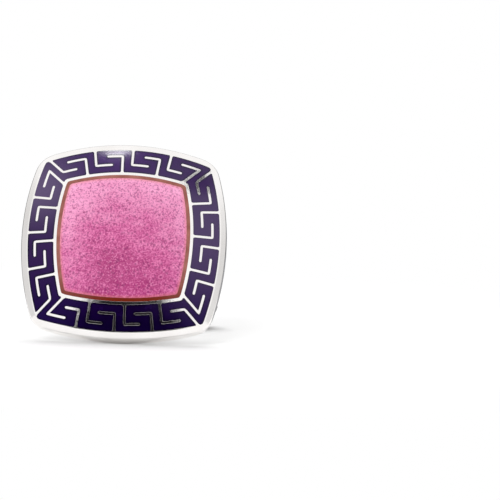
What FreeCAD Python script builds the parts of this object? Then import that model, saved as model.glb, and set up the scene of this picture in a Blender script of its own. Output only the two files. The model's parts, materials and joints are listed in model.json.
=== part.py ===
import FreeCAD, Part
import Sketcher
import math
import os
from FreeCAD import Placement, Rotation, Vector

# A cufflink: a domed, cushion-shaped head of silver and enamel, and a bullet toggle on a post.
# Every piece is drawn face up on the bench: x to the right, y to the top of the face, z out of
# the face, with z = 0 on the back of the head. The finished pieces are then stood up together,
# as the cufflink stands by itself.

DRIVING_SIZES = [
    # Outline and dome of the head
    ("face_width", 17.0, "face across the middles of two opposite sides"),
    ("side_arc_radius", 22.45, "bow of the outer sides"),
    ("corner_radius", 2.0, "rounding of the outer corners, seen from the front"),
    ("dome_radius", 26.0, "sphere that the face is part of"),
    ("edge_height", 1.4, "side wall at the middle of a side"),
    ("edge_rounding", 0.2, "rounding of the wall's front and back edges"),
    # Cells of the face, from the outline inwards
    ("rim_width", 0.55, "silver rim outside the border enamel"),
    ("border_line", 0.25, "silver line between border and panel"),
    ("panel_edge_width", 0.3, "brown edge round the pink field"),
    ("border_enamel_depth", 0.35, "thickness of the border enamel"),
    ("panel_enamel_depth", 0.45, "thickness of the panel's enamel"),
    ("cell_corner_radius", 0.3, "rounding of the cells' corners"),
    # Greek key, drawn on a square grid that follows the face
    ("key_line", 0.2, "width of a silver key line"),
    ("key_grid", 22, "grid units across the face, inside the rim"),
    ("key_band", 3, "grid units across the border"),
    ("key_stems", 3, "straight hooks of each kind on a side, between the corners"),
    ("key_pair", 1.13, "inner hook's stem to the outer hook's stem beside it, in grid units"),
    ("key_corner_offset", 0.48, "corner stems to the diagonal of the face, in grid units"),
    ("key_outer_arm", 0.83, "rim to the arms of the inner hooks, in grid units"),
    ("key_inner_arm", 1.98, "rim to the arms of the outer hooks, in grid units"),
    ("key_outer_gap", 1.36, "end of an inner hook's arm to the next stem, in grid units"),
    ("key_inner_gap", 1.1, "end of an outer hook's arm to the next stem, in grid units"),
    # Back of the head
    ("plate_margin", 1.5, "outline of the head to the edge of the back plate"),
    ("plate_thickness", 0.6, "back plate"),
    ("plate_corner_radius", 1.0, "corners of the back plate"),
    ("dome_wall", 1.1, "silver between the face and the hollow behind it"),
    ("plate_ledge", 0.6, "ledge under the back plate, at the middle of a side"),
    ("seat_gap", 0.01, "clearance of pieces that are soldered or pressed together"),
    # Post
    ("stem_diameter", 3.0, "round part of the post"),
    ("spigot_diameter", 2.0, "end of the post that goes through the back plate"),
    ("collar_diameter", 6.0, "foot round the post"),
    ("collar_seat_depth", 0.1, "seat for the collar in the back plate"),
    ("collar_flange", 0.4, "straight edge of the collar"),
    ("collar_height", 1.2, "collar from the back plate to its neck"),
    ("collar_neck", 0.3, "collar round the stem at its neck"),
    ("pivot_distance", 13.0, "back of the head to the pivot"),
    ("blade_thickness", 1.2, "flat of the post"),
    ("blade_corner_radius", 0.5, "corners of the squared end"),
    ("blade_edge_rounding", 0.15, "edges of the flat"),
    ("shoulder_gap", 0.7, "tip of the toggle, turned in line, to the stem"),
    # Toggle
    ("toggle_length", 15.0, "bullet from tip to tip"),
    ("toggle_diameter", 5.0, "bullet"),
    ("toggle_wall", 0.5, "wall of the barrel"),
    ("cap_plug", 0.8, "plug of an end cap in the barrel"),
    ("seam_chamfer", 0.08, "edges where barrel and cap meet"),
    ("slot_side_gap", 0.1, "blade to each side of the slot"),
    ("slot_end_gap", 0.15, "blade to the end of the slot"),
    ("pin_diameter", 1.2, "pivot pin"),
    ("pin_running_gap", 0.03, "pin to the hole in the blade, all round"),
    ("spring_width", 1.8, "leaf spring"),
    ("spring_thickness", 0.15, "leaf spring"),
    ("spring_bow", 0.3, "bow of the leaf spring at rest"),
    ("spring_gap", 0.02, "leaf spring to the squared end at rest"),
]

doc = FreeCAD.newDocument("cufflink")
sizes = doc.addObject("Spreadsheet::Sheet", "sizes")
for row, (alias, number, meaning) in enumerate(DRIVING_SIZES, 1):
    sizes.set(f"A{row}", alias)
    sizes.set(f"B{row}", str(number))
    sizes.setAlias(f"B{row}", alias)
    sizes.set(f"C{row}", meaning)
doc.recompute()

# Sizes that follow from the driving ones, as expressions on the sheet
OUTLINE = "sizes.face_width / 2"
ARC_CENTRE = f"(sizes.side_arc_radius - {OUTLINE})"
BORDER_OUTSIDE = f"({OUTLINE} - sizes.rim_width)"
KEY_UNIT = f"(2 * {BORDER_OUTSIDE} / sizes.key_grid)"
BORDER_WIDTH = f"(sizes.key_band * {KEY_UNIT})"
BORDER_INSIDE = f"({BORDER_OUTSIDE} - {BORDER_WIDTH})"
PANEL = f"({BORDER_INSIDE} - sizes.border_line)"
FIELD = f"({PANEL} - sizes.panel_edge_width)"
PLATE = f"({OUTLINE} - sizes.plate_margin)"
DOME_CENTRE = f"(sizes.edge_height - sqrt(sizes.dome_radius^2 - ({OUTLINE})^2))"
APEX = f"({DOME_CENTRE} + sizes.dome_radius)"
STEM = "sizes.stem_diameter / 2"
COLLAR = "sizes.collar_diameter / 2"
BARREL = "sizes.toggle_diameter / 2"
BORE = f"({BARREL} - sizes.toggle_wall)"
SPRING_SEAT = f"(sqrt({BORE}^2 - (sizes.spring_width / 2)^2) - sizes.seat_gap)"
SPRING_END = f"({SPRING_SEAT} - sizes.spring_thickness)"
SQUARE_END = f"({SPRING_END} - sizes.spring_bow - sizes.spring_gap)"
BARREL_END = f"(sizes.toggle_length / 2 - {BARREL})"
SLOT_WIDTH = "(sizes.blade_thickness + 2 * sizes.slot_side_gap)"
STEM_END = "(sizes.pivot_distance - sizes.toggle_length / 2 - sizes.shoulder_gap)"
SHOULDER = f"({STEM_END} - {STEM} + sizes.blade_thickness / 2)"


def value(expression):
    return float(sizes.evalExpression(expression))


def sketch_on(body, role, height="0"):
    """An empty sketch on one of the body's own planes, raised by a height."""
    plane = next(datum for datum in body.Origin.OriginFeatures if datum.Role == role)
    sketch = body.newObject("Sketcher::SketchObject", f"{body.Name}_sketch")
    sketch.AttachmentSupport = [(plane, "")]
    sketch.MapMode = "FlatFace"
    sketch.setExpression(".AttachmentOffset.Base.z", height)
    return sketch


def hold(sketch, kind, geometry, point, expression):
    """Bind one coordinate of a sketch point, or a radius, to the sheet."""
    place = (geometry,) if point is None else (geometry, point)
    index = sketch.addConstraint(Sketcher.Constraint(kind, *place, value(expression)))
    sketch.setExpression(f"Constraints[{index}]", expression)


def arc_between(start, end, radius, bulge):
    """An anticlockwise arc of under half a turn, with its bulge on the given side."""
    half = (end - start) / 2
    right = Vector(half.y, -half.x, 0).normalize()
    centre = start + half - right * (bulge * math.sqrt(max(radius**2 - half.Length**2, 0)))
    first, last = (start, end) if bulge > 0 else (end, start)
    angles = [math.atan2(point.y - centre.y, point.x - centre.x) for point in (first, last)]
    return Part.ArcOfCircle(Part.Circle(centre, Vector(0, 0, 1), radius), *angles)


def draw_outline(sketch, corners):
    """A closed outline of corners (x, y), or (x, y, radius, bulge) where an arc runs to the next.

    The arc bulges to the right of the way to the next corner with bulge 1, to the left with -1.
    """
    points = [Vector(value(corner[0]), value(corner[1]), 0) for corner in corners]
    ends = []
    for index, corner in enumerate(corners):
        start = points[index]
        end = points[(index + 1) % len(points)]
        if len(corner) == 2:
            sketch.addGeometry(Part.LineSegment(start, end))
            ends.append((1, 2))
        else:
            sketch.addGeometry(arc_between(start, end, value(corner[2]), corner[3]))
            ends.append((1, 2) if corner[3] > 0 else (2, 1))
    for index, corner in enumerate(corners):
        after = (index + 1) % len(corners)
        meeting = (index, ends[index][1], after, ends[after][0])
        sketch.addConstraint(Sketcher.Constraint("Coincident", *meeting))
        hold(sketch, "DistanceX", index, ends[index][0], corner[0])
        hold(sketch, "DistanceY", index, ends[index][0], corner[1])
        if len(corner) > 2:
            hold(sketch, "Radius", index, None, corner[2])


def draw_circle(sketch, radius):
    """A circle about the sketch's origin."""
    index = sketch.addGeometry(Part.Circle(Vector(), Vector(0, 0, 1), value(radius)))
    sketch.addConstraint(Sketcher.Constraint("Coincident", index, 3, -1, 1))
    hold(sketch, "Radius", index, None, radius)


def feature(body, kind, profile, **expressions):
    """A sketch-based feature of the body, with its sizes bound to the sheet."""
    made = body.newObject(f"PartDesign::{kind}", f"{body.Name}_{kind.lower()}")
    made.Profile = profile
    for name, expression in expressions.items():
        made.setExpression(name, expression)
    doc.recompute()
    return made


def across(body, kind, sketch, width):
    """A pad or pocket that reaches as far to both sides of its sketch."""
    made = feature(body, kind, sketch, Length=width)
    made.SideType = "Symmetric"
    doc.recompute()
    return made


def turned(body, kind, sketch, axis):
    """A full turn of the sketch about one of its axes."""
    made = feature(body, kind, sketch)
    made.ReferenceAxis = (sketch, [axis])
    made.Angle = 360
    doc.recompute()
    return made


def soften(body, kind, picks, **expressions):
    """A fillet or chamfer on the edges of the body's last feature that picks says yes to."""
    last = body.Tip
    edges = [f"Edge{number}" for number, edge in enumerate(last.Shape.Edges, 1) if picks(edge)]
    made = body.newObject(f"PartDesign::{kind}", f"{body.Name}_{kind.lower()}")
    made.Base = (last, edges)
    for name, expression in expressions.items():
        made.setExpression(name, expression)
    doc.recompute()


def upright(edge):
    """Whether an edge stands along z."""
    box = edge.BoundBox
    return box.XLength < 1e-4 and box.YLength < 1e-4


def cushion(name, half_width, corner_radius, bottom, height):
    """A prism whose four sides bow out on arcs about the same centres, with rounded corners."""
    body = doc.addObject("PartDesign::Body", name)
    sketch = sketch_on(body, "XY_Plane", bottom)
    arc = f"({half_width} + {ARC_CENTRE})"
    corner = f"((sqrt(2 * {arc}^2 - {ARC_CENTRE}^2) - {ARC_CENTRE}) / 2)"
    signs = [("", "-"), ("", ""), ("-", ""), ("-", "-")]
    draw_outline(sketch, [(x + corner, y + corner, arc, 1) for x, y in signs])
    feature(body, "Pad", sketch, Length=height)
    soften(body, "Fillet", upright, Radius=corner_radius)
    return body


def dome(name, depth):
    """The ball whose surface lies this deep under the face, its poles and seam away from it."""
    ball = doc.addObject("Part::Sphere", name)
    ball.setExpression("Radius", f"sizes.dome_radius - {depth}")
    ball.Placement.Rotation = Rotation(Vector(1, 0, 0), 90)
    ball.setExpression(".Placement.Base.z", DOME_CENTRE)
    return ball


def joined(kind, name, base, tool):
    """Part::Cut or Part::Common of two shapes."""
    made = doc.addObject(f"Part::{kind}", name)
    made.Base = base
    made.Tool = tool
    return made


# Greek key: hooks on one side of the face, in the face's plane, about the centre of that side's arcs

def crossing(stem, radius):
    """Where a stem, given by its foot and direction, crosses a circle about the side's centre."""
    foot, direction = stem
    centre = Vector(0, -value(ARC_CENTRE), 0)
    start = foot - centre
    along = start * direction
    return foot + direction * (math.sqrt(radius**2 - start * start + along**2) - along)


def side_point(radius, angle):
    """A point of a circle about the side's centre, at an angle clockwise from its middle."""
    return Vector(radius * math.sin(angle), radius * math.cos(angle) - value(ARC_CENTRE), 0)


def side_angle(point):
    return math.atan2(point.x, point.y + value(ARC_CENTRE))


def hook(stem, root_radius, arm_radius, arm_end):
    """One L-shaped key line: a stem from its root, and an arm along the side to a round end."""
    half = value("sizes.key_line") / 2
    foot, direction = stem
    clockwise = 1 if arm_end > side_angle(crossing(stem, arm_radius)) else -1
    inwards = 1 if root_radius > arm_radius else -1
    shift = Vector(direction.y, -direction.x, 0) * (clockwise * half)
    near_side = (foot + shift, direction)
    far_side = (foot - shift, direction)
    far_radius = arm_radius - inwards * half
    near_radius = arm_radius + inwards * half
    far_knee = crossing(far_side, far_radius)
    near_knee = crossing(near_side, near_radius)
    far_end = side_point(far_radius, arm_end)
    near_end = side_point(near_radius, arm_end)
    tip = side_point(arm_radius, arm_end + clockwise * half / arm_radius)
    far_middle = side_point(far_radius, (side_angle(far_knee) + arm_end) / 2)
    near_middle = side_point(near_radius, (side_angle(near_knee) + arm_end) / 2)
    far_root = crossing(far_side, root_radius)
    near_root = crossing(near_side, root_radius)
    edges = [
        Part.LineSegment(far_root, far_knee),
        Part.Arc(far_knee, far_middle, far_end),
        Part.Arc(far_end, tip, near_end),
        Part.Arc(near_end, near_middle, near_knee),
        Part.LineSegment(near_knee, near_root),
        Part.LineSegment(near_root, far_root),
    ]
    return Part.Face(Part.Wire([edge.toShape() for edge in edges]))


def key_hooks():
    """All hooks of the face: outer ones root in the rim, inner ones in the border line."""
    centre = value(ARC_CENTRE)
    rim = centre + value(BORDER_OUTSIDE)
    outer_root = rim + value("sizes.rim_width") / 2
    inner_root = centre + value(BORDER_INSIDE) - value("sizes.border_line") / 2
    unit = value(KEY_UNIT)
    outer_arm = rim - value("sizes.key_outer_arm") * unit
    inner_arm = rim - value("sizes.key_inner_arm") * unit
    middle = rim - value(BORDER_WIDTH) / 2
    count = round(value("sizes.key_stems"))
    diagonal = math.sqrt(0.5)
    corner = crossing((Vector(), Vector(diagonal, diagonal, 0)), middle)
    pitch = 2 * side_angle(corner) / (count + 1)
    pair = value("sizes.key_pair") * unit / middle
    offset = value("sizes.key_corner_offset") * unit

    def radial(angle):
        return (Vector(0, -centre, 0), Vector(math.sin(angle), math.cos(angle), 0))

    places = [(number - (count - 1) / 2) * pitch for number in range(count)]
    first = (Vector(offset * diagonal, offset * diagonal, 0), Vector(-diagonal, diagonal, 0))
    last = (Vector(-offset * diagonal, offset * diagonal, 0), Vector(diagonal, diagonal, 0))
    outer_stems = [first] + [radial(place + pair / 2) for place in places]
    inner_stems = [radial(place - pair / 2) for place in places] + [last]
    outer_gap = value("sizes.key_outer_gap") * unit / outer_arm
    inner_gap = value("sizes.key_inner_gap") * unit / inner_arm
    faces = []
    for outer, inner in zip(outer_stems, inner_stems):
        inner_end = side_angle(crossing(inner, inner_arm)) - inner_gap
        outer_end = side_angle(crossing(outer, outer_arm)) + outer_gap
        faces.append(hook(outer, outer_root, inner_arm, inner_end))
        faces.append(hook(inner, inner_root, outer_arm, outer_end))
    side = Part.makeCompound(faces)
    quarter_turns = [Placement(Vector(), Rotation(Vector(0, 0, 1), 90 * turn)) for turn in range(4)]
    flat = doc.addObject("Part::Feature", "key_hooks_flat")
    flat.Shape = Part.makeCompound([side.transformed(turn.toMatrix()) for turn in quarter_turns])
    walls = doc.addObject("Part::Extrusion", "key_hooks")
    walls.Base = flat
    walls.DirMode = "Custom"
    walls.Dir = Vector(0, 0, 1)
    walls.Solid = True
    walls.setExpression("LengthFwd", f"3 * {APEX}")
    return walls


# Head: plaque, three enamels and back plate

def make_head():
    past_face = f"2 * {APEX}"
    face = dome("face_dome", "0")
    border_floor = dome("border_floor", "sizes.border_enamel_depth")
    panel_floor = dome("panel_floor", "sizes.panel_enamel_depth")

    def cell(name, half_width):
        return cushion(name, half_width, "sizes.cell_corner_radius", "0", past_face)

    panel = cell("panel_prism", PANEL)
    field = cell("field_prism", FIELD)
    border = cell("border_prism", BORDER_OUTSIDE)
    ring = joined("Cut", "border_ring", border, cell("line_prism", BORDER_INSIDE))
    meander = joined("Cut", "border_meander", ring, key_hooks())
    border_cell = joined("Cut", "border_cell", meander, border_floor)
    panel_cell = joined("Cut", "panel_cell", panel, panel_floor)
    edge_ring = joined("Cut", "panel_edge_ring", panel_cell, field)
    field_cell = joined("Cut", "field_cell", field, panel_floor)

    border_enamel = joined("Common", "border_enamel", border_cell, face)
    panel_edge_enamel = joined("Common", "panel_edge_enamel", edge_ring, face)
    centre_enamel = joined("Common", "centre_enamel", field_cell, face)

    outline = cushion("outline_prism", OUTLINE, "sizes.corner_radius", "0", past_face)
    blank = joined("Common", "domed_blank", outline, face)
    doc.recompute()
    rounded = doc.addObject("Part::Fillet", "rounded_blank")
    rounded.Base = blank
    rounding = value("sizes.edge_rounding")
    rounded.Edges = [
        (number, rounding, rounding)
        for number, edge in enumerate(blank.Shape.Edges, 1)
        if not upright(edge)
    ]
    rebate = cushion(
        "plate_rebate",
        PLATE,
        "sizes.plate_corner_radius",
        "-sizes.plate_thickness",
        "2 * sizes.plate_thickness",
    )
    bore = doc.addObject("Part::Cylinder", "hollow_bore")
    bore.setExpression("Radius", f"{PLATE} - sizes.plate_ledge")
    bore.setExpression("Height", APEX)
    hollow = joined("Common", "hollow", bore, dome("hollow_dome", "sizes.dome_wall"))
    with_border = joined("Cut", "plaque_with_border", rounded, border_cell)
    with_panel = joined("Cut", "plaque_with_panel", with_border, panel_cell)
    with_rebate = joined("Cut", "plaque_with_rebate", with_panel, rebate)
    face_plaque = joined("Cut", "face_plaque", with_rebate, hollow)
    doc.recompute()
    return [face_plaque, border_enamel, panel_edge_enamel, centre_enamel, make_back_plate()]


def make_back_plate():
    body = cushion(
        "back_plate",
        f"({PLATE} - sizes.seat_gap)",
        "sizes.plate_corner_radius",
        "0",
        "sizes.plate_thickness - sizes.seat_gap",
    )
    seat = sketch_on(body, "XY_Plane")
    draw_circle(seat, f"{COLLAR} + sizes.seat_gap")
    pocket = feature(body, "Pocket", seat, Length="sizes.collar_seat_depth")
    pocket.Reversed = True
    through = sketch_on(body, "XY_Plane")
    draw_circle(through, "sizes.spigot_diameter / 2 + sizes.seat_gap")
    hole = feature(body, "Pocket", through, Length="2 * sizes.plate_thickness")
    hole.Reversed = True
    doc.recompute()
    return body


# Post: stem with spigot, flat blade with its squared end, and the collar at its foot

def make_post():
    body = doc.addObject("PartDesign::Body", "post")
    blade_end = f"-(sizes.pivot_distance + {SQUARE_END})"
    blade = sketch_on(body, "XZ_Plane")
    left = f"-{SQUARE_END}"
    top = f"-{SHOULDER}"
    draw_outline(
        blade,
        [(left, top), (left, blade_end), (SQUARE_END, blade_end), (SQUARE_END, top)],
    )
    across(body, "Pad", blade, "sizes.blade_thickness")
    end_height = value(blade_end)
    top_height = value(top)

    def squared_corner(edge):
        box = edge.BoundBox
        return box.XLength < 1e-4 and box.ZLength < 1e-4 and abs(box.ZMin - end_height) < 1e-4

    def flat_edge(edge):
        box = edge.BoundBox
        return box.YLength < 1e-4 and box.ZMin < top_height - 1e-4

    soften(body, "Fillet", squared_corner, Radius="sizes.blade_corner_radius")
    soften(body, "Fillet", flat_edge, Radius="sizes.blade_edge_rounding")
    seat = "sizes.collar_seat_depth"
    spigot = "sizes.spigot_diameter / 2"
    tip = "(sizes.plate_thickness - sizes.seat_gap)"
    stem = sketch_on(body, "XZ_Plane")
    draw_outline(
        stem,
        [
            ("0", tip),
            ("0", f"-{STEM_END}"),
            ("sizes.blade_thickness / 2", f"-{STEM_END}"),
            (STEM, f"-{SHOULDER}"),
            (STEM, seat),
            (spigot, seat),
            (spigot, tip),
        ],
    )
    turned(body, "Revolution", stem, "V_Axis")
    eye = sketch_on(body, "XZ_Plane")
    pivot = Vector(0, -value("sizes.pivot_distance"), 0)
    circle = eye.addGeometry(Part.Circle(pivot, Vector(0, 0, 1), value("sizes.pin_diameter")))
    eye.addConstraint(Sketcher.Constraint("PointOnObject", circle, 3, -2))
    hold(eye, "DistanceY", circle, 3, "-sizes.pivot_distance")
    hold(eye, "Radius", circle, None, "sizes.pin_diameter / 2 + sizes.pin_running_gap")
    across(body, "Pocket", eye, "2 * sizes.blade_thickness")
    return body


def make_collar():
    body = doc.addObject("PartDesign::Body", "post_collar")
    inside = f"({STEM} + sizes.seat_gap)"
    neck = f"({inside} + sizes.collar_neck)"
    sketch = sketch_on(body, "XZ_Plane")
    cove = f"sqrt(({COLLAR} - {neck})^2 + (sizes.collar_height - sizes.collar_flange)^2)"
    draw_outline(
        sketch,
        [
            (inside, "sizes.collar_seat_depth"),
            (inside, "-sizes.collar_height"),
            (neck, "-sizes.collar_height", cove, -1),
            (COLLAR, "-sizes.collar_flange"),
            (COLLAR, "sizes.collar_seat_depth"),
        ],
    )
    turned(body, "Revolution", sketch, "V_Axis")
    return body


# Toggle, drawn about its pivot: barrel along x, pin along y

def cut_slot(body):
    """The blade's way from crosswise to in line: the front of the bullet and one of its ends."""
    sketch = sketch_on(body, "XZ_Plane")
    back = f"-({SQUARE_END} + sizes.slot_end_gap)"
    right = "sizes.toggle_length"
    front = "sizes.toggle_diameter"
    draw_outline(sketch, [(back, back), (right, back), (right, front), (back, front)])
    across(body, "Pocket", sketch, SLOT_WIDTH)


def end_circle(edge):
    """Whether an edge is one of the bullet's full outer circles."""
    if edge.Degenerated or not isinstance(edge.Curve, Part.Circle):
        return False
    return edge.isClosed() and abs(edge.Curve.Radius - value(BARREL)) < 1e-4


def make_barrel():
    body = doc.addObject("PartDesign::Body", "toggle_barrel")
    ring = sketch_on(body, "YZ_Plane")
    draw_circle(ring, BARREL)
    draw_circle(ring, BORE)
    across(body, "Pad", ring, f"2 * {BARREL_END}")
    soften(body, "Chamfer", end_circle, Size="sizes.seam_chamfer")
    cut_slot(body)
    hole = sketch_on(body, "XZ_Plane")
    draw_circle(hole, "sizes.pin_diameter / 2 + sizes.seat_gap")
    across(body, "Pocket", hole, "2 * sizes.toggle_diameter")
    return body


def make_cap(name, side, slotted):
    """A round end cap on the right (side 1) or left (side -1) end of the barrel."""
    body = doc.addObject("PartDesign::Body", name)
    sketch = sketch_on(body, "XZ_Plane")
    plug = f"({BORE} - sizes.seat_gap)"

    def along(expression):
        return f"{side} * ({expression})"

    draw_outline(
        sketch,
        [
            (along(f"{BARREL_END} - sizes.cap_plug"), "0"),
            (along("sizes.toggle_length / 2"), "0", BARREL, side),
            (along(BARREL_END), BARREL),
            (along(BARREL_END), plug),
            (along(f"{BARREL_END} - sizes.cap_plug"), plug),
        ],
    )
    turned(body, "Revolution", sketch, "H_Axis")
    soften(body, "Chamfer", end_circle, Size="sizes.seam_chamfer")
    if slotted:
        cut_slot(body)
    return body


def make_spring():
    """A bowed leaf: its middle bears on the blade's squared end, its ends on the barrel's bore."""
    body = doc.addObject("PartDesign::Body", "leaf_spring")
    sketch = sketch_on(body, "XZ_Plane")
    reach = f"({BARREL_END} - sizes.cap_plug - sizes.seat_gap)"
    bow_radius = f"(({reach}^2 + sizes.spring_bow^2) / (2 * sizes.spring_bow))"
    draw_outline(
        sketch,
        [
            (f"-{reach}", f"-{SPRING_SEAT}", bow_radius, -1),
            (reach, f"-{SPRING_SEAT}"),
            (reach, f"-{SPRING_END}", bow_radius, 1),
            (f"-{reach}", f"-{SPRING_END}"),
        ],
    )
    across(body, "Pad", sketch, "sizes.spring_width")
    return body


def make_pin():
    """The pin's ends are dressed flush with the round of the barrel."""
    rod = doc.addObject("Part::Cylinder", "pin_rod")
    rod.setExpression("Radius", "sizes.pin_diameter / 2")
    rod.setExpression("Height", "sizes.toggle_diameter")
    rod.Placement.Rotation = Rotation(Vector(1, 0, 0), 90)
    rod.setExpression(".Placement.Base.y", BARREL)
    round_barrel = doc.addObject("Part::Cylinder", "pin_dressing")
    round_barrel.setExpression("Radius", BARREL)
    round_barrel.setExpression("Height", "sizes.toggle_length")
    round_barrel.Placement.Rotation = Rotation(Vector(0, 1, 0), 90)
    round_barrel.setExpression(".Placement.Base.x", "-sizes.toggle_length / 2")
    return joined("Common", "pivot_pin", rod, round_barrel)


head_pieces = make_head() + [make_collar(), make_post()]
toggle_pieces = [
    make_barrel(),
    make_cap("toggle_cap_plain", -1, slotted=False),
    make_cap("toggle_cap_slotted", 1, slotted=True),
    make_spring(),
    make_pin(),
]
doc.recompute()


# Stand the cufflink up: it leans back on the bottom edge of its rim and on the barrel

def lean_angle():
    """The lean in radians at which the rounded bottom edge and the barrel touch level ground."""
    rounding = value("sizes.edge_rounding")
    rim_arm = value(OUTLINE) - rounding
    pivot_arm = value("sizes.pivot_distance") + rounding
    drop = value(BARREL) - rounding
    return math.acos(drop / math.hypot(rim_arm, pivot_arm)) - math.atan2(pivot_arm, rim_arm)


lean = lean_angle()
upright_turn = Rotation(Vector(1, 0, 0), 90 - math.degrees(lean))
pivot_on_bench = Vector(0, 0, -value("sizes.pivot_distance"))
head_pieces[0].Placement = Placement(Vector(), upright_turn)
front = head_pieces[0].Shape.optimalBoundingBox().YMin
pivot_turned = upright_turn.multVec(pivot_on_bench)
back = pivot_turned.y + value(BARREL)
standing = Placement(Vector(0, -(front + back) / 2, value(BARREL) - pivot_turned.z), upright_turn)
at_pivot = standing.multiply(Placement(pivot_on_bench, Rotation()))
for piece in head_pieces:
    piece.Placement = standing
for piece in toggle_pieces:
    piece.Placement = at_pivot
doc.recompute()

for item in doc.Objects:
    if "Invalid" in item.State or "Error" in item.State:
        raise RuntimeError(f"{item.Name} failed: {item.State}")
for piece in head_pieces + toggle_pieces:
    if piece.Shape.isNull() or not piece.Shape.isValid() or len(piece.Shape.Solids) != 1:
        raise RuntimeError(f"{piece.Label} is not one valid solid")

os.makedirs("parts", exist_ok=True)
for piece in head_pieces + toggle_pieces:
    piece.Shape.exportStep(f"parts/{piece.Label}.step")
    print(f"{piece.Label}: {piece.Shape.Volume:.3f} mm3")
print(f"lean {math.degrees(lean):.4f} degrees")
print(f"back of the head's centre at {tuple(standing.Base)}, pivot at {tuple(at_pivot.Base)}")
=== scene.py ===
import bmesh
import bpy
import json
import math
from mathutils import Matrix, Vector
from mathutils.kdtree import KDTree


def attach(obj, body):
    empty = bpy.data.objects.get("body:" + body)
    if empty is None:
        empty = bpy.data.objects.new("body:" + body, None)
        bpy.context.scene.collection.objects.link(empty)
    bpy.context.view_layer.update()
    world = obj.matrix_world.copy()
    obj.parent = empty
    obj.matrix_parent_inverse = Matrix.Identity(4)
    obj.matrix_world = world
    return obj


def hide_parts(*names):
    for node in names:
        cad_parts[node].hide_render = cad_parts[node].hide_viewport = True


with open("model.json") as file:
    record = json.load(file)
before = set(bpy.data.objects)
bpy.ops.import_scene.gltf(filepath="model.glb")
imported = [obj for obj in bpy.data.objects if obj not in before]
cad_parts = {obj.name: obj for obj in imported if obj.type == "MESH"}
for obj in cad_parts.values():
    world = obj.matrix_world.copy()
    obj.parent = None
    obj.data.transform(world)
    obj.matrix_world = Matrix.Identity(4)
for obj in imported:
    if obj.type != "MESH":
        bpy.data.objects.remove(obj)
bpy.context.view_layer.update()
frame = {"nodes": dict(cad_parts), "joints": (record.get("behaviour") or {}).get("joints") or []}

MM = 0.001
QUARTER = math.pi / 2

# The head, drawn face up on the bench in millimetres: x to the right, y to the face's top, z out of it.
# Its outlines are cushions: four arcs, each about a centre beyond the opposite side, and round corners.
SIDE_CENTRE = 13.95
FACE_HALF = 8.5
FACE_CORNER = 2
LIP_HALF = 8.1
LIP_CORNER = 1
RIM_INSIDE = 7.95
BORDER_LINE_OUTSIDE = 5.7818
PANEL_HALF = 5.5318
FIELD_HALF = 5.2318
CELL_CORNER = 0.3
SLANT = math.sqrt(0.5)
LEFT_DIAGONAL = (Vector((0, 0)), Vector((-SLANT, SLANT)))
RIGHT_DIAGONAL = (Vector((0, 0)), Vector((SLANT, SLANT)))

# Dome, edges and back of the plaque
EDGE_HEIGHT = 1.4
DOME_RADIUS = 26
DOME_CENTRE = EDGE_HEIGHT - math.sqrt(DOME_RADIUS**2 - FACE_HALF**2)
CHANNEL_DEPTH = 0.35
RIM_FALL = 0.08
RIM_ROUNDING = 0.08
BACK_ROUNDING = 0.2
LINE_ROUNDING = 0.012
REBATE_HALF = 7
REBATE_CORNER = 1
REBATE_DEPTH = 0.6

# Greek key, on a square grid
KEY_UNIT = 2 * RIM_INSIDE / 22
KEY_LINE_HALF = 0.1
KEY_STEMS = 3
KEY_PAIR = 1.13 * KEY_UNIT
KEY_CORNER_OFFSET = 0.48 * KEY_UNIT
OUTER_ARM = RIM_INSIDE - 0.83 * KEY_UNIT
INNER_ARM = RIM_INSIDE - 1.98 * KEY_UNIT
OUTER_GAP = 1.36 * KEY_UNIT
INNER_GAP = 1.1 * KEY_UNIT
ROOT_FLARE = 0.07
FLARE_LENGTH = 0.12
END_TAPER = 0.08
END_PINCH = 0.55
KNEE_CUT = 0.2
WIDEST_CELL = 0.45

# Enamel: how far it lies below the silver and reaches into the walls, and how it climbs at them
ENAMEL_DIP = 0.006
ENAMEL_THICKNESS = 0.3
ENAMEL_OVERLAP = 0.06
ENAMEL_CELL = 0.09
FIELD_CELLS = 96
MENISCUS_WIDTH = 0.22
MENISCUS_DIP = 0.0015
FOOT_SPACING = MENISCUS_WIDTH / 8

# Where a painted sheen makes the purple milky: a place on the face, how far it reaches and how milky it
# is there
PAINTED_SHEEN_PLACES = [((-7.1, 4.3), 5, 0.95), ((7.1, 0.5), 9.5, 0.62)]

# Tolerances and angles of the modelling
OUTLINE_MARGIN = 0.01
TOP_MARGIN = 0.1 * CHANNEL_DEPTH
SEAM_GAP = 0.001
LINE_CREASE = math.radians(12)
OUTLINE_CREASE = math.radians(30)
SMOOTH_ANGLE = math.radians(35)

# The head leans back as far as the swivel's axis does, with its back this far from the pivot
PIVOT_DISTANCE = 13
swivel = frame["joints"][0]
swivel_axis = Vector(swivel["axis"])
lean = math.atan2(-swivel_axis.y, -swivel_axis.z)
turn_upright = Matrix.Rotation(QUARTER - lean, 4, "X")
head_back = Vector(swivel["pos_m"]) + turn_upright @ Vector((0, 0, PIVOT_DISTANCE * MM))
STANDING = Matrix.Translation(head_back) @ turn_upright @ Matrix.Scale(MM, 4)


# Outlines of the face; a line is a point and a direction

def dome_height(x, y):
    return DOME_CENTRE + math.sqrt(DOME_RADIUS**2 - x * x - y * y)


def circle_crossing(foot, direction, centre, radius):
    """Where a line from inside a circle leaves it."""
    start = foot - centre
    along = start.dot(direction)
    return foot + direction * (math.sqrt(radius**2 - start.length_squared + along**2) - along)


def side_angle(point):
    """The angle of a point about the centre of the top side's arcs, clockwise from the middle."""
    return math.atan2(point.x, point.y + SIDE_CENTRE)


def side_turn(flat):
    """The turn that takes the top side of the face to the side that a point is on."""
    turns = round((math.atan2(flat.y, flat.x) - QUARTER) / QUARTER)
    return Matrix.Rotation(turns * QUARTER, 2)


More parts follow.
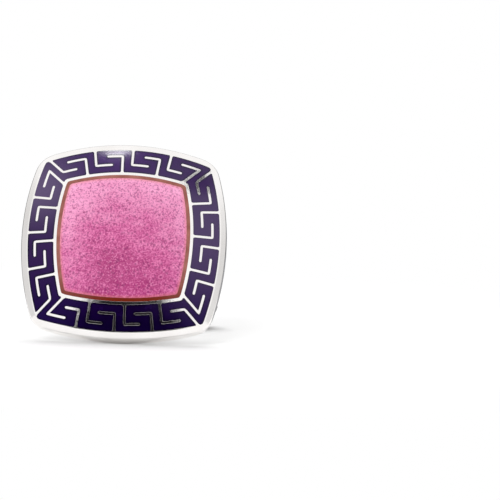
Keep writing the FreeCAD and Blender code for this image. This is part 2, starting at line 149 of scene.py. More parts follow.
def outline_crossing(line, half_width, corner_radius):
    """Where a line crosses the top side of a cushion outline with rounded corners."""
    foot, direction = line
    arc = half_width + SIDE_CENTRE
    point = circle_crossing(foot, direction, Vector((0, -SIDE_CENTRE)), arc)
    reach = arc - corner_radius
    corner = (math.sqrt(2 * reach**2 - SIDE_CENTRE**2) - SIDE_CENTRE) / 2
    if abs(side_angle(point)) <= math.atan2(corner, corner + SIDE_CENTRE):
        return point
    corner_centre = Vector((math.copysign(corner, point.x), corner))
    return circle_crossing(foot, direction, corner_centre, corner_radius)


def outline_point(direction, half_width, corner_radius):
    """The point of a cushion outline in a direction from the face's centre."""
    turn = side_turn(direction)
    towards_top = (turn.inverted() @ direction).normalized()
    return turn @ outline_crossing((Vector((0, 0)), towards_top), half_width, corner_radius)


def radial_line(angle):
    """The line across the top side at an angle about its centre."""
    return (Vector((0, -SIDE_CENTRE)), Vector((math.sin(angle), math.cos(angle))))


def beside(line, distance):
    """The line parallel to another one, at a distance clockwise from it."""
    foot, direction = line
    return (foot + Vector((direction.y, -direction.x)) * distance, direction)


# Greek key of one side, as a sheet of cells between rows along the side and lines across it

ROWS = [
    (FACE_HALF, FACE_CORNER),
    (LIP_HALF, LIP_CORNER),
    (RIM_INSIDE, CELL_CORNER),
    (RIM_INSIDE - FLARE_LENGTH, CELL_CORNER),
    (OUTER_ARM + KEY_LINE_HALF, CELL_CORNER),
    (OUTER_ARM - KEY_LINE_HALF, CELL_CORNER),
    (INNER_ARM + KEY_LINE_HALF, CELL_CORNER),
    (INNER_ARM - KEY_LINE_HALF, CELL_CORNER),
    (BORDER_LINE_OUTSIDE + FLARE_LENGTH, CELL_CORNER),
    (BORDER_LINE_OUTSIDE, CELL_CORNER),
    (PANEL_HALF, CELL_CORNER),
]
RIM_ROW = 2
OUTER_ARM_ROW = 4
INNER_ARM_ROW = 6
LINE_ROW = 9


def key_stems():
    """The stems of the outer hooks, which hang from the rim, and of the inner hooks."""
    middle = (RIM_INSIDE + BORDER_LINE_OUTSIDE) / 2 + SIDE_CENTRE
    corner = circle_crossing(*RIGHT_DIAGONAL, Vector((0, -SIDE_CENTRE)), middle)
    pitch = 2 * side_angle(corner) / (KEY_STEMS + 1)
    places = [(number - (KEY_STEMS - 1) / 2) * pitch for number in range(KEY_STEMS)]
    half_pair = KEY_PAIR / middle / 2
    outer = [beside(LEFT_DIAGONAL, KEY_CORNER_OFFSET)]
    outer += [radial_line(place + half_pair) for place in places]
    inner = [radial_line(place - half_pair) for place in places]
    inner += [beside(RIGHT_DIAGONAL, -KEY_CORNER_OFFSET)]
    return outer, inner


def arm_angle(line, arm):
    """The angle at which a line crosses the middle of the outer or the inner arms."""
    return side_angle(outline_crossing(line, arm, CELL_CORNER))


def key_lines():
    """The lines that bound the key's stems and arms, from left to right, with places for more."""
    lines = {"left": LEFT_DIAGONAL, "right": RIGHT_DIAGONAL}
    for number, (outer, inner) in enumerate(zip(*key_stems())):
        hooks = [
            ("outer", outer, inner, INNER_ARM, -INNER_GAP),
            ("inner", inner, outer, OUTER_ARM, OUTER_GAP),
        ]
        for hook, stem, facing_stem, arm, gap in hooks:
            arc = arm + SIDE_CENTRE
            end = arm_angle(facing_stem, arm) + gap / arc
            taper = math.copysign(END_TAPER, gap) / arc
            lines[hook, number, "left"] = beside(stem, -KEY_LINE_HALF)
            lines[hook, number, "right"] = beside(stem, KEY_LINE_HALF)
            lines[hook, number, "end"] = radial_line(end)
            lines[hook, number, "taper"] = radial_line(end + taper)
    in_order = sorted(lines.items(), key=lambda item: arm_angle(item[1], INNER_ARM))
    filled = []
    for (name, line), (_, after) in zip(in_order, in_order[1:]):
        filled.append((name, line))
        start, end = (outline_crossing(edge, FACE_HALF, FACE_CORNER) for edge in (line, after))
        parts = math.ceil((end - start).length / WIDEST_CELL)
        filled += [(None, None)] * (parts - 1)
    filled.append(in_order[-1])
    return filled


def holds_place(name, row):
    """Whether a line has to cross a row in its own place, because silver ends there."""
    if name in ("left", "right"):
        return True
    if name is None:
        return False
    hook, _, side = name
    if row < OUTER_ARM_ROW:
        return hook == "outer" and side in ("left", "right")
    if row > INNER_ARM_ROW + 1:
        return hook == "inner" and side in ("left", "right")
    return True


def row_points(lines, row):
    """The points of one row, those that hold no place spread evenly between those that do."""
    held = [number for number, (name, _) in enumerate(lines) if holds_place(name, row)]
    angles = {number: side_angle(outline_crossing(lines[number][1], *ROWS[row])) for number in held}
    points = [outline_crossing(radial_line(angles[0]), *ROWS[row])]
    for first, last in zip(held, held[1:]):
        for number in range(first + 1, last + 1):
            share = (number - first) / (last - first)
            angle = angles[first] + (angles[last] - angles[first]) * share
            points.append(outline_crossing(radial_line(angle), *ROWS[row]))
    return points


def shape_hook(points, lines, columns, root, near_arm, far_arm):
    """Flare a hook's root, cut its knee and pinch the end of its arm."""
    far, near, end = columns
    outwards = 1 if near > far else -1
    for column, side in ((far, -1), (near, 1)):
        flared = beside(lines[column][1], side * outwards * ROOT_FLARE)
        points[column][root] = outline_crossing(flared, *ROWS[root])
    points[far][far_arm] = points[far][far_arm].lerp(points[near][near_arm], KNEE_CUT)
    middle = points[end][near_arm].lerp(points[end][far_arm], 0.5)
    for row in (near_arm, far_arm):
        points[end][row] = points[end][row].lerp(middle, END_PINCH)


def key_sheet():
    """The points and the silver cells of one side's sheet, both by line and row."""
    lines = key_lines()
    rows = [row_points(lines, row) for row in range(len(ROWS))]
    points = [list(column) for column in zip(*rows)]
    place = {name: number for number, (name, _) in enumerate(lines) if name}
    walls = set()

    def fill(first, last, top, bottom):
        walls.update((column, row) for column in range(first, last) for row in range(top, bottom))

    fill(0, len(lines) - 1, 0, RIM_ROW)
    fill(0, len(lines) - 1, LINE_ROW, LINE_ROW + 1)
    for hook in range(KEY_STEMS + 1):
        left, right, end = (place["outer", hook, side] for side in ("left", "right", "end"))
        fill(left, right, RIM_ROW, INNER_ARM_ROW + 1)
        fill(right, end, INNER_ARM_ROW, INNER_ARM_ROW + 1)
        shape_hook(points, lines, (left, right, end), RIM_ROW, INNER_ARM_ROW, INNER_ARM_ROW + 1)
        left, right, end = (place["inner", hook, side] for side in ("left", "right", "end"))
        fill(left, right, OUTER_ARM_ROW, LINE_ROW)
        fill(end, left, OUTER_ARM_ROW, OUTER_ARM_ROW + 1)
        shape_hook(points, lines, (right, left, end), LINE_ROW, OUTER_ARM_ROW + 1, OUTER_ARM_ROW)
    return points, walls


def wall_feet():
    """Points close together along the feet of the silver walls, on the top side and its neighbours."""
    points, walls = key_sheet()
    feet = []
    for column in range(len(points) - 1):
        for row in range(len(ROWS) - 2):
            if ((column, row) in walls) != ((column, row + 1) in walls):
                feet.append((points[column][row + 1], points[column + 1][row + 1]))
            if column and ((column - 1, row) in walls) != ((column, row) in walls):
                feet.append((points[column][row], points[column][row + 1]))
    spread = []
    for first, last in feet:
        parts = math.ceil((last - first).length / FOOT_SPACING)
        spread += [first.lerp(last, part / parts) for part in range(parts)]
    return [Matrix.Rotation(turn * QUARTER, 2) @ point for turn in (-1, 0, 1) for point in spread]


# Modelling by hand

def new_piece(name):
    """The object that the last operator made, under its own name."""
    piece = bpy.context.object
    piece.name = name
    piece.data.name = name
    return piece


def choose(piece):
    """Select one piece alone."""
    bpy.ops.object.select_all(action="DESELECT")
    piece.select_set(True)
    bpy.context.view_layer.objects.active = piece


def edit(piece):
    """Open a piece in edit mode, to work on its faces."""
    choose(piece)
    bpy.ops.object.mode_set(mode="EDIT")
    bpy.ops.mesh.select_mode(type="FACE")


def select(piece, wanted, mode="EDGE"):
    """Select the edges or faces of the piece in edit mode that wanted says yes to."""
    bpy.ops.mesh.select_mode(type=mode)
    bpy.ops.mesh.select_all(action="DESELECT")
    mesh = bmesh.from_edit_mesh(piece.data)
    for item in mesh.edges if mode == "EDGE" else mesh.faces:
        if wanted(item):
            item.select_set(True)
    mesh.select_flush_mode()
    bmesh.update_edit_mesh(piece.data)


def place_points(piece, moved):
    """Give each vertex of the piece a new place."""
    for vertex in piece.data.vertices:
        vertex.co = moved(vertex)


def lift_to_dome(piece, below):
    """Lay a flat sheet on the dome, or a distance below it."""

    def lifted(vertex):
        x, y, _ = vertex.co
        return (x, y, dome_height(x, y) - below)

    place_points(piece, lifted)


def sheet_of_points(name, points):
    """A grid with one vertex for each point, by column and row."""
    bpy.ops.object.select_all(action="DESELECT")
    rows = len(points[0])
    bpy.ops.mesh.primitive_grid_add(x_subdivisions=len(points) - 1, y_subdivisions=rows - 1)
    piece = new_piece(name)
    for index, vertex in enumerate(piece.data.vertices):
        row, column = divmod(index, len(points))
        vertex.co = points[column][rows - 1 - row].to_3d()
    return piece


def turn_round_face(piece):
    """Repeat one side of the face on the other three, and close the seams."""
    edit(piece)
    bpy.ops.mesh.select_all(action="SELECT")
    bpy.ops.mesh.spin(steps=3, dupli=True, angle=3 * QUARTER, center=(0, 0, 0), axis=(0, 0, 1))
    bpy.ops.mesh.select_all(action="SELECT")
    bpy.ops.mesh.remove_doubles(threshold=SEAM_GAP)
    bpy.ops.mesh.normals_make_consistent(inside=False)
    bpy.ops.object.mode_set(mode="OBJECT")


def apply_modifier(piece, kind, **settings):
    modifier = piece.modifiers.new(kind.lower(), kind)
    for name, setting in settings.items():
        setattr(modifier, name, setting)
    choose(piece)
    bpy.ops.object.modifier_apply(modifier=modifier.name)


def shade_smooth(piece):
    choose(piece)
    bpy.ops.object.shade_smooth_by_angle(angle=SMOOTH_ANGLE)


def stand_up(piece, node, material):
    """Stand a finished piece of the head where its node is, and dress it."""
    piece.matrix_world = STANDING
    choose(piece)
    bpy.ops.object.transform_apply(location=True, rotation=True, scale=True)
    piece.data.materials.clear()
    piece.data.materials.append(material)
    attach(piece, "head")
    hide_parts(node)


# Silver face; the cells under its walls have a material slot of their own while it is modelled

WALL_SLOT = 1


def on_outline(vertex):
    """Whether a vertex of the plaque lies on the outline of the face."""
    flat = vertex.co.to_2d()
    return flat.length > outline_point(flat, FACE_HALF, FACE_CORNER).length - OUTLINE_MARGIN


def is_crease(edge, angle):
    return len(edge.link_faces) == 2 and edge.calc_face_angle(0) > angle


def channel_floor():
    """The floor of the channels, as a sheet round the whole face that falls a little at its outline."""
    points, walls = key_sheet()
    piece = sheet_of_points("face_plaque_silver", points)
    for slot in ("channel", "wall"):
        piece.data.materials.append(bpy.data.materials.new(slot))
    for cell in piece.data.polygons:
        row, column = divmod(min(cell.vertices), len(points))
        if (column, len(ROWS) - 2 - row) in walls:
            cell.material_index = WALL_SLOT
    turn_round_face(piece)
    lift_to_dome(piece, CHANNEL_DEPTH)
    for vertex in piece.data.vertices:
        if on_outline(vertex):
            vertex.co.z -= RIM_FALL
    return piece


def close_back(piece):
    """Draw the outline down to a flat back with a rebate, and close the rebate and the panel's floor."""

    def open_outline(edge):
        return edge.is_boundary and on_outline(edge.verts[0])

    select(piece, open_outline)
    bpy.ops.mesh.extrude_edges_move()
    bpy.ops.transform.resize(value=(1, 1, 0), center_override=(0, 0, 0))
    select(piece, open_outline)
    bpy.ops.mesh.extrude_edges_move()
    bpy.ops.object.mode_set(mode="OBJECT")
    for vertex in piece.data.vertices:
        if vertex.select:
            vertex.co = outline_point(vertex.co.to_2d(), REBATE_HALF, REBATE_CORNER).to_3d()
    bpy.ops.object.mode_set(mode="EDIT")
    bpy.ops.mesh.extrude_edges_move(TRANSFORM_OT_translate={"value": (0, 0, REBATE_DEPTH)})
    bpy.ops.mesh.edge_face_add()
    select(piece, lambda edge: edge.is_boundary)
    bpy.ops.mesh.edge_face_add()
    bpy.ops.mesh.select_all(action="SELECT")
    bpy.ops.mesh.normals_make_consistent(inside=False)


def round_outline(piece, rounding, at_height):
    """Round the plaque's outer edge, in front or at the back."""

    def outer(edge):
        lies = all(on_outline(vertex) and at_height(vertex.co.z) for vertex in edge.verts)
        return lies and is_crease(edge, OUTLINE_CREASE)

    select(piece, outer)
    bpy.ops.mesh.bevel(offset=rounding, segments=4, profile=0.5, clamp_overlap=True)


def round_line_edges(piece):
    """Round the upper edges of the key lines, the border line and the rim's inside."""

    def upper(edge):
        middle = (edge.verts[0].co + edge.verts[1].co) / 2
        on_top = middle.z > dome_height(middle.x, middle.y) - TOP_MARGIN
        return on_top and is_crease(edge, LINE_CREASE) and not on_outline(edge.verts[0])

    select(piece, upper)
    bpy.ops.mesh.bevel(offset=LINE_ROUNDING, segments=2, profile=0.5, clamp_overlap=True)


def make_plaque(material):
    """Silver face: rim, border line and key lines stand as walls round the channels."""
    piece = channel_floor()
    edit(piece)
    select(piece, lambda face: face.material_index == WALL_SLOT, "FACE")
    bpy.ops.mesh.extrude_region_move(TRANSFORM_OT_translate={"value": (0, 0, CHANNEL_DEPTH)})
    close_back(piece)
    round_line_edges(piece)
    round_outline(piece, RIM_ROUNDING, lambda height: height > REBATE_DEPTH / 2)
    round_outline(piece, BACK_ROUNDING, lambda height: height < REBATE_DEPTH / 2)
    bpy.ops.object.mode_set(mode="OBJECT")
    shade_smooth(piece)
    apply_modifier(piece, "WEIGHTED_NORMAL", keep_sharp=True, weight=90, thresh=0)
    stand_up(piece, "face_plaque", material)


# Enamels

def smooth_step(share):
    """From 0 to 1 with a soft start and end."""
    share = min(max(share, 0), 1)
    return share * share * (3 - 2 * share)


def enamel_band(name, outside, inside):
    """A flat sheet in small cells between two cushion outlines."""
    row_count = math.ceil((outside - inside) / ENAMEL_CELL)
    column_count = math.ceil(2 * outside / ENAMEL_CELL)
    rows = [outside + (inside - outside) * row / row_count for row in range(row_count + 1)]
    corner = outline_crossing(RIGHT_DIAGONAL, (outside + inside) / 2, CELL_CORNER)
    points = []
    for column in range(column_count + 1):
        across = corner.lerp(Vector((-corner.x, corner.y)), 1 - column / column_count)
        line = (Vector((0, 0)), across.normalized())
        points.append([outline_crossing(line, row, CELL_CORNER) for row in rows])
    piece = sheet_of_points(name, points)
    turn_round_face(piece)
    return piece


def finish_enamel(piece, node, material, dip=0):
    """Lay a sheet of enamel on the dome, hollowed by dip between its walls, and give it thickness."""
    lift_to_dome(piece, ENAMEL_DIP)
    if dip:
        for vertex, value in zip(piece.data.vertices, piece.data.attributes["channel_middle"].data):
            vertex.co.z -= dip * value.value
    apply_modifier(piece, "SOLIDIFY", thickness=ENAMEL_THICKNESS, offset=-1)
    shade_smooth(piece)
    stand_up(piece, node, material)


def make_border_enamel(material):
    """Purple enamel, which climbs a little at the silver walls; the walls stand through it."""
    outside = RIM_INSIDE + ENAMEL_OVERLAP
    inside = BORDER_LINE_OUTSIDE - ENAMEL_OVERLAP
    piece = enamel_band("border_enamel_purple", outside, inside)
    feet = wall_feet()
    tree = KDTree(len(feet))
    for number, point in enumerate(feet):
        tree.insert(point.to_3d(), number)
    tree.balance()
    middle = piece.data.attributes.new("channel_middle", "FLOAT", "POINT")
    for vertex, value in zip(piece.data.vertices, middle.data):
        flat = vertex.co.to_2d()
        on_top_side = side_turn(flat).inverted() @ flat
        _, _, distance = tree.find(on_top_side.to_3d())
        value.value = smooth_step(distance / MENISCUS_WIDTH)
    finish_enamel(piece, "border_enamel", material, MENISCUS_DIP)
    return piece


def make_panel_edge(material):
    """Brown line round the field."""
    piece = enamel_band("panel_edge_enamel_brown", PANEL_HALF + ENAMEL_OVERLAP, FIELD_HALF)
    finish_enamel(piece, "panel_edge_enamel", material)


def make_field(material):
    """The pink field, a cushion-shaped sheet on the dome."""
    bpy.ops.object.select_all(action="DESELECT")
    bpy.ops.mesh.primitive_grid_add(x_subdivisions=FIELD_CELLS, y_subdivisions=FIELD_CELLS, size=2)
    piece = new_piece("centre_enamel_pink")

    def onto_cushion(vertex):
        flat = vertex.co.to_2d()
        share = max(abs(flat.x), abs(flat.y))
        if share < 0.5 / FIELD_CELLS:
            return (0, 0, 0)
        return (outline_point(flat, FIELD_HALF, CELL_CORNER) * share).to_3d()

    edge = piece.data.attributes.new("towards_edge", "FLOAT", "POINT")
    for vertex, value in zip(piece.data.vertices, edge.data):
        value.value = max(abs(vertex.co.x), abs(vertex.co.y))
    place_points(piece, onto_cushion)
    finish_enamel(piece, "centre_enamel", material)


# Materials

class Value:
    """A socket of a material's nodes; sums on it add Math nodes."""

    def __init__(self, finish, socket):
        self.finish = finish
        self.socket = socket

    def calculate(self, operation, first, second):
        return self.finish.node("ShaderNodeMath", {"operation": operation}, {0: first, 1: second})

    def __add__(self, other):
        return self.calculate("ADD", self, other)

    def __radd__(self, other):
        return self.calculate("ADD", other, self)

    def __sub__(self, other):
        return self.calculate("SUBTRACT", self, other)

    def __rsub__(self, other):
        return self.calculate("SUBTRACT", other, self)

    def __mul__(self, other):
        return self.calculate("MULTIPLY", self, other)

    def __rmul__(self, other):
        return self.calculate("MULTIPLY", other, self)


def rgba(colour):
    return colour if isinstance(colour, Value) else (*colour, 1)


class Finish:
    """The nodes of a material or of the world."""

    def __init__(self, owner):
        self.owner = owner
        owner.use_nodes = True
        self.tree = owner.node_tree
        self.tree.nodes.clear()

    def node(self, kind, settings, inputs, output=0):
        """Any node: its type, its settings, the values or links it takes, and the output wanted."""
        made = self.tree.nodes.new(kind)
        for name, setting in settings.items():
            if name == "stops":
                for position, _ in setting[2:]:
                    made.color_ramp.elements.new(position)
                for element, (position, colour) in zip(made.color_ramp.elements, setting):
                    element.position = position
                    element.color = rgba(colour)
            else:
                setattr(made, name, setting)
        for name, value in inputs.items():
            if isinstance(value, Value):
                self.tree.links.new(value.socket, made.inputs[name])
            else:
                made.inputs[name].default_value = value
        return Value(self, made.outputs[output]) if made.outputs else None

    def place(self):
        return self.node("ShaderNodeTexCoord", {}, {}, "Object")

    def along(self, place, axis):
        return self.node("ShaderNodeSeparateXYZ", {}, {0: place}, axis)

    def compare(self, operation, place, other=(0, 0, 0)):
        """A number from one vector or two, such as their distance."""
        inputs = {0: place, 1: other}
        return self.node("ShaderNodeVectorMath", {"operation": operation}, inputs, "Value")

    def stretched(self, place, turn, scale):
        return self.node("ShaderNodeMapping", {}, {"Vector": place, "Rotation": turn, "Scale": scale})

    def attribute(self, name):
        return self.node("ShaderNodeAttribute", {"attribute_name": name}, {}, "Fac")

    def noise(self, place, size, detail=3.0, roughness=0.5):
        """Noise whose blotches are about this size."""
        inputs = {"Vector": place, "Scale": 1 / size, "Detail": detail, "Roughness": roughness}
        return self.node("ShaderNodeTexNoise", {}, inputs)

    def between(self, value, low, high, out_low=0.0, out_high=1.0, kind="SMOOTHSTEP"):
        """A value that goes from out_low to out_high while another one goes from low to high."""
        inputs = {"Value": value, 1: low, 2: high, 3: out_low, 4: out_high}
        return self.node("ShaderNodeMapRange", {"interpolation_type": kind}, inputs)

    def varied(self, noise, low=0.0, high=1.0):
        """A value that varies from low to high with noise."""
        return self.between(noise, 0.3, 0.7, low, high)

    def mix(self, share, first, second):
        """A colour between two others."""
        inputs = {0: share, 6: rgba(first), 7: rgba(second)}
        return self.node("ShaderNodeMix", {"data_type": "RGBA"}, inputs, 2)

    def bump(self, height, distance):
        inputs = {"Height": height, "Distance": distance, "Strength": 1.0}
        return self.node("ShaderNodeBump", {}, inputs)

    def seen(self, ray):
        """One for rays of this kind, nothing for others."""
        return self.node("ShaderNodeLightPath", {}, {}, ray)

    def shader(self, **inputs):
        named = {name.replace("_", " "): value for name, value in inputs.items()}
        return self.node("ShaderNodeBsdfPrincipled", {}, named)

    def output(self, surface, kind="ShaderNodeOutputMaterial"):
        self.node(kind, {}, {"Surface": surface})
        return self.owner


def polished_silver():
    """Silver with faint clouds and fine scratches in two directions."""
    bright = (0.97, 0.95, 0.935)
    dull = (0.92, 0.895, 0.875)
    finish = Finish(bpy.data.materials.new("polished_silver"))
    place = finish.place()
    cloud = finish.noise(place, 3 * MM, detail=5)
    across = finish.stretched(place, (0.4, 0.3, 0.9), (1, 18, 6))
    along = finish.stretched(place, (0.2, 1.1, -0.6), (14, 1, 9))
    scratches = finish.noise(across, 1.2 * MM, detail=4) + finish.noise(along, 1.5 * MM, detail=4)
    surface = finish.shader(
        Base_Color=finish.mix(finish.between(cloud, 0.35, 0.7), bright, dull),
        Metallic=1.0,
        Roughness=finish.between(cloud + scratches * 0.3, 0.5, 1.0, 0.05, 0.13),
        Normal=finish.bump(scratches, 0.002 * MM),
    )
    return finish.output(surface)


def border_purple():
    """Translucent enamel in clouds under a clear surface; painted shade deepens it low down and along
    the walls, and a painted sheen makes it milky at the upper left and on the right.
    """
    shaded_low_purple = (0.0095, 0.001, 0.055)
    upper = (0.026, 0.0033, 0.072)
    cloud_and_wall_shade = (0.006, 0.001, 0.026)
    sheen_veil_colour = (0.1, 0.066, 0.157)
    finish = Finish(bpy.data.materials.new("border_purple"))
    place = finish.place()
    height = finish.along(place, "Z")
    cloud = finish.noise(place, 1.5 * MM, detail=4)
    fine = finish.noise(place, 0.2 * MM, detail=3)
    # Painted shade darkens the purple towards the silver walls, where channel_middle is low; the clouds
    # vary its tone at random.
    middle = finish.attribute("channel_middle")
    cloud_and_wall_shading = finish.between(cloud * 0.5 + fine * 0.2 + middle * 0.4, 0.3, 0.8)
    # Painted light and shade: the purple is deep at the bottom and lighter higher up, by height alone.
    rising = finish.between(height, 1 * MM, 8 * MM)
    colour = finish.mix(cloud_and_wall_shading, cloud_and_wall_shade, finish.mix(rising, shaded_low_purple, upper))
    # Painted sheen: a milky veil round each of these places stands in for the clear surface's
    # reflection.
    for (x, y), reach, share in PAINTED_SHEEN_PLACES:
        centre = STANDING @ Vector((x, y, dome_height(x, y)))
        away = finish.compare("DISTANCE", place, centre)
        colour = finish.mix(finish.between(away, 0.0, reach * MM, share, 0.0), colour, sheen_veil_colour)
    surface = finish.shader(
        Base_Color=colour,
        Metallic=0.68,
        Roughness=finish.varied(cloud, 0.16, 0.26) + rising * 0.18,
        Normal=finish.bump(finish.noise(place, 0.6 * MM, detail=2), 0.0015 * MM),
        Specular_IOR_Level=0.0,
        Coat_Weight=finish.between(height, 3 * MM, 12 * MM, 0.1, 0.62, "LINEAR"),
        Coat_Roughness=0.12,
    )
    return finish.output(surface)


def edge_brown():
    """Brown enamel in clouds of two shades, redder and darker along the bottom."""
    brown = (0.25, 0.075, 0.055)
    light_brown = (0.36, 0.13, 0.1)
    red_brown = (0.16, 0.016, 0.005)
    finish = Finish(bpy.data.materials.new("edge_brown"))
    place = finish.place()
    cloud = finish.noise(place, 0.9 * MM, detail=4)
    low = finish.between(finish.along(place, "Z"), 3.5 * MM, 6 * MM, 1.0, 0.0)
    surface = finish.shader(
        Base_Color=finish.mix(low, finish.mix(finish.varied(cloud), brown, light_brown), red_brown),
        Roughness=finish.varied(cloud, 0.1, 0.2),
        Normal=finish.bump(finish.noise(place, 0.5 * MM, detail=2), 0.004 * MM),
        Specular_IOR_Level=0.38,
    )
    return finish.output(surface)


def field_pink():
    """Granular enamel with darker specks and a warm edge; painted light makes it paler towards the top
    and the sides.
    """
    pinks = [(0.0, (0.36, 0.015, 0.14)), (0.36, (0.62, 0.115, 0.315)), (1.0, (0.95, 0.42, 0.66))]
    bright_grain = (0.97, 0.38, 0.66)
    dark_grain = (0.32, 0.018, 0.14)
    speck_colour = (0.22, 0.015, 0.11)
    warm_edge = (0.72, 0.2, 0.2)
    finish = Finish(bpy.data.materials.new("field_pink"))
    place = finish.place()
    sideways = finish.along(place, "X") * (1 / (4.4 * MM))
    height = finish.between(finish.along(place, "Z"), 4 * MM, 13.6 * MM, kind="LINEAR")
    cloud = finish.noise(place, 3 * MM, detail=3)
    mottle = finish.noise(place, 0.8 * MM, detail=3, roughness=0.6)
    streaks = finish.noise(finish.stretched(place, (0, 0.35, 0), (1, 3, 5)), 2.2 * MM, detail=3)
    # Painted light: the pink pales towards the top and the sides; clouds, mottle and streaks give it its
    # own uneven tone.
    sheen_and_mottle = -0.05 + 0.95 * height * height + 0.33 * sideways * sideways
    sheen_and_mottle = sheen_and_mottle + (cloud - 0.5) * 0.5 + (mottle - 0.5) * 0.6 + (streaks - 0.5) * 0.5
    sheen_and_mottle_share = finish.between(sheen_and_mottle, -0.2, 1.0, kind="LINEAR")
    ground = finish.node("ShaderNodeValToRGB", {"stops": pinks}, {0: sheen_and_mottle_share})
    grain = finish.noise(place, 0.13 * MM, detail=1, roughness=0.6)
    grainy = finish.mix(finish.between(grain, 0.5, 0.7, 0.0, 0.42), ground, bright_grain)
    grainy = finish.mix(finish.between(grain, 0.32, 0.5, 0.62, 0.0), grainy, dark_grain)
    cells = {"Vector": place, "Scale": 1 / (0.3 * MM), "Randomness": 1.0}
    speck = finish.node("ShaderNodeTexVoronoi", {}, cells, "Distance")
    chance = finish.node("ShaderNodeTexVoronoi", {}, cells, "Color")
    dark = finish.between(speck, 0.25, 0.45, 1.0, 0.0) * finish.between(chance - sheen_and_mottle * 0.25, 0.2, 0.55)
    speckled = finish.mix(dark * (0.62 - sheen_and_mottle * 0.2), grainy, speck_colour)
    near_edge = finish.between(finish.attribute("towards_edge"), 0.945, 1.0, 0.0, 0.5)
    surface = finish.shader(
        Base_Color=finish.mix(near_edge, speckled, warm_edge),
        Roughness=finish.varied(mottle, 0.14, 0.26),
        Normal=finish.bump(finish.noise(place, 0.5 * MM, detail=2), 0.004 * MM),
        Specular_IOR_Level=0.38,
    )
    return finish.output(surface)


def spring_steel():
    """Steel with a fine grain."""
    dark_grey = (0.5, 0.5, 0.52)
    light_grey = (0.62, 0.62, 0.63)
    finish = Finish(bpy.data.materials.new("spring_steel"))
    grain = finish.noise(finish.place(), 0.3 * MM, detail=3)
    surface = finish.shader(
        Base_Color=finish.mix(grain, dark_grey, light_grey),
        Metallic=1.0,
        Roughness=finish.varied(grain, 0.2, 0.32),
    )
    return finish.output(surface)


# Studio

def white_floor():
    """White paper, pure white away from the object; silver mirrors it bright in front, darker behind."""
    white = (0.97, 0.97, 0.97)
    grey = (0.3, 0.3, 0.31)
    finish = Finish(bpy.data.materials.new("white_floor"))
    place = finish.place()
    away = finish.compare("LENGTH", place)
    backwards = finish.along(place, "Y")
    glossy = finish.seen("Is Glossy Ray")
    behind = glossy * finish.between(backwards, -8 * MM, 10 * MM)
    paper = finish.node("ShaderNodeBsdfDiffuse", {}, {"Color": finish.mix(behind, white, grey)})
    glow = finish.node("ShaderNodeEmission", {}, {"Color": (1, 1, 1, 1), "Strength": 1.0})
    far = finish.seen("Is Camera Ray") * finish.between(away, 16 * MM, 60 * MM)
    in_front = glossy * finish.between(backwards, -11 * MM, -9.5 * MM, 0.75, 0.0)
    return finish.output(finish.node("ShaderNodeMixShader", {}, {0: far + in_front, 1: paper, 2: glow}))


def make_floor():
    bpy.ops.object.select_all(action="DESELECT")
    bpy.ops.mesh.primitive_plane_add(size=4)
    floor = new_piece("floor")
    floor.data.materials.append(white_floor())


def light_tent():
    """A white tent with a dark lens opening in front, a dark seam, duller sides and a dim back."""
    seam_direction = (0.346, -0.331, 0.878)
    soft_light = 0.44
    finish = Finish(bpy.data.worlds.new("light_tent"))
    direction = finish.node("ShaderNodeTexCoord", {}, {}, "Generated")
    x, y, z = (finish.along(direction, axis) for axis in "XYZ")
    opening = finish.between(-1 * y, 0.9, 0.938, 1.0, 0.01)
    sides = finish.between(x * x, 0.36, 0.64, 1.0, 0.74)
    back = 1 - finish.between(y, 0.1, 0.45) * finish.between(z, 0.0, 0.85, 0.88, 0.0)
    towards_seam = finish.compare("DOT_PRODUCT", direction, seam_direction)
    seam = finish.between(towards_seam, 0.9955, 0.9985, 1.0, 0.05)
    mirrored = opening * sides * back * seam
    camera = finish.seen("Is Camera Ray")
    glossy = finish.seen("Is Glossy Ray")
    strength = camera + glossy * mirrored + (1 - camera - glossy) * soft_light
    background = finish.node("ShaderNodeBackground", {}, {"Color": (1, 1, 1, 1), "Strength": strength})
    return finish.output(background, "ShaderNodeOutputWorld")


def direction_to(azimuth, elevation):
    """The direction to a place round the object, from its azimuth and elevation in radians."""
    level = math.cos(elevation)
    return Vector((math.sin(azimuth) * level, -math.cos(azimuth) * level, math.sin(elevation)))


def looking_from(direction, roll):
    """The turn of a lamp or camera that looks back along a direction."""
    return direction.to_track_quat("Z", "Y").to_matrix() @ Matrix.Rotation(roll, 3, "Z")


def put_in_scene(name, data, place, turn):
    thing = bpy.data.objects.new(name, data)
    bpy.context.scene.collection.objects.link(thing)
    thing.matrix_world = Matrix.Translation(place) @ turn.to_4x4()
    return thing


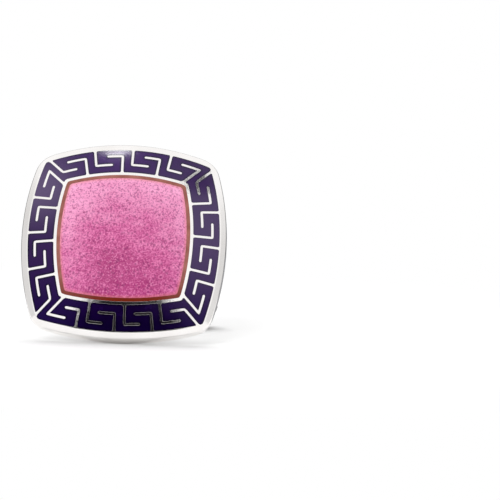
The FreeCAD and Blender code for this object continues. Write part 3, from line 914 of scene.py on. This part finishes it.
def add_lamp(name, azimuth, elevation, distance, size, brightness, roll=0):
    """A soft lamp that looks at the head, with its angles in degrees and its size in metres."""
    direction = direction_to(math.radians(azimuth), math.radians(elevation))
    data = bpy.data.lights.new(name, "AREA")
    data.shape = "RECTANGLE"
    data.size, data.size_y = size
    data.energy = brightness * math.pi * data.size * data.size_y
    turn = looking_from(direction, math.radians(roll))
    return put_in_scene(name, data, head_back + direction * distance, turn)


def make_lamps(border):
    """A soft box overhead, a fill in front, and a lamp whose glint only the border enamel catches."""
    overhead = add_lamp("overhead_box", 181, 66, distance=0.5, size=(0.45, 0.35), brightness=3.7)
    fill = add_lamp("front_fill", -20, 28, distance=0.7, size=(0.4, 0.3), brightness=5.8)
    for lamp in (overhead, fill):
        lamp.visible_glossy = False
    glint = add_lamp("glint", -33, 77.6, distance=0.6, size=(0.1, 0.032), brightness=34, roll=27)
    glint.data.shape = "ELLIPSE"
    catching = bpy.data.collections.new("catches_glint")
    catching.objects.link(border)
    glint.light_linking.receiver_collection = catching


def make_camera():
    """A long lens from just above the ground, a little to the right, with the horizon tipped."""
    azimuth = math.radians(2.1)
    elevation = lean - math.radians(18.7)
    roll = math.radians(1.7)
    distance = 0.5
    picture = 500
    pixels_per_metre = 12.1 / MM
    apex_pixel = Vector((123.0, 235.7))
    direction = direction_to(azimuth, elevation)
    turn = looking_from(direction, roll)
    offset = (apex_pixel - Vector((picture / 2, picture / 2))) / pixels_per_metre
    apex = STANDING @ Vector((0, 0, dome_height(0, 0)))
    aim = apex - turn @ Vector((offset.x, -offset.y, 0))
    data = bpy.data.cameras.new("camera")
    data.sensor_width = 36
    data.lens = data.sensor_width * distance / (picture / pixels_per_metre)
    bpy.context.scene.camera = put_in_scene("camera", data, aim + direction * distance, turn)


silver = polished_silver()
make_plaque(silver)
border = make_border_enamel(border_purple())
make_panel_edge(edge_brown())
make_field(field_pink())
steel = spring_steel()
for name, node in frame["nodes"].items():
    node.data.materials.clear()
    node.data.materials.append(steel if name == "leaf_spring" else silver)

make_floor()
bpy.context.scene.world = light_tent()
make_lamps(border)
make_camera()
bpy.context.scene.view_settings.view_transform = "Standard"
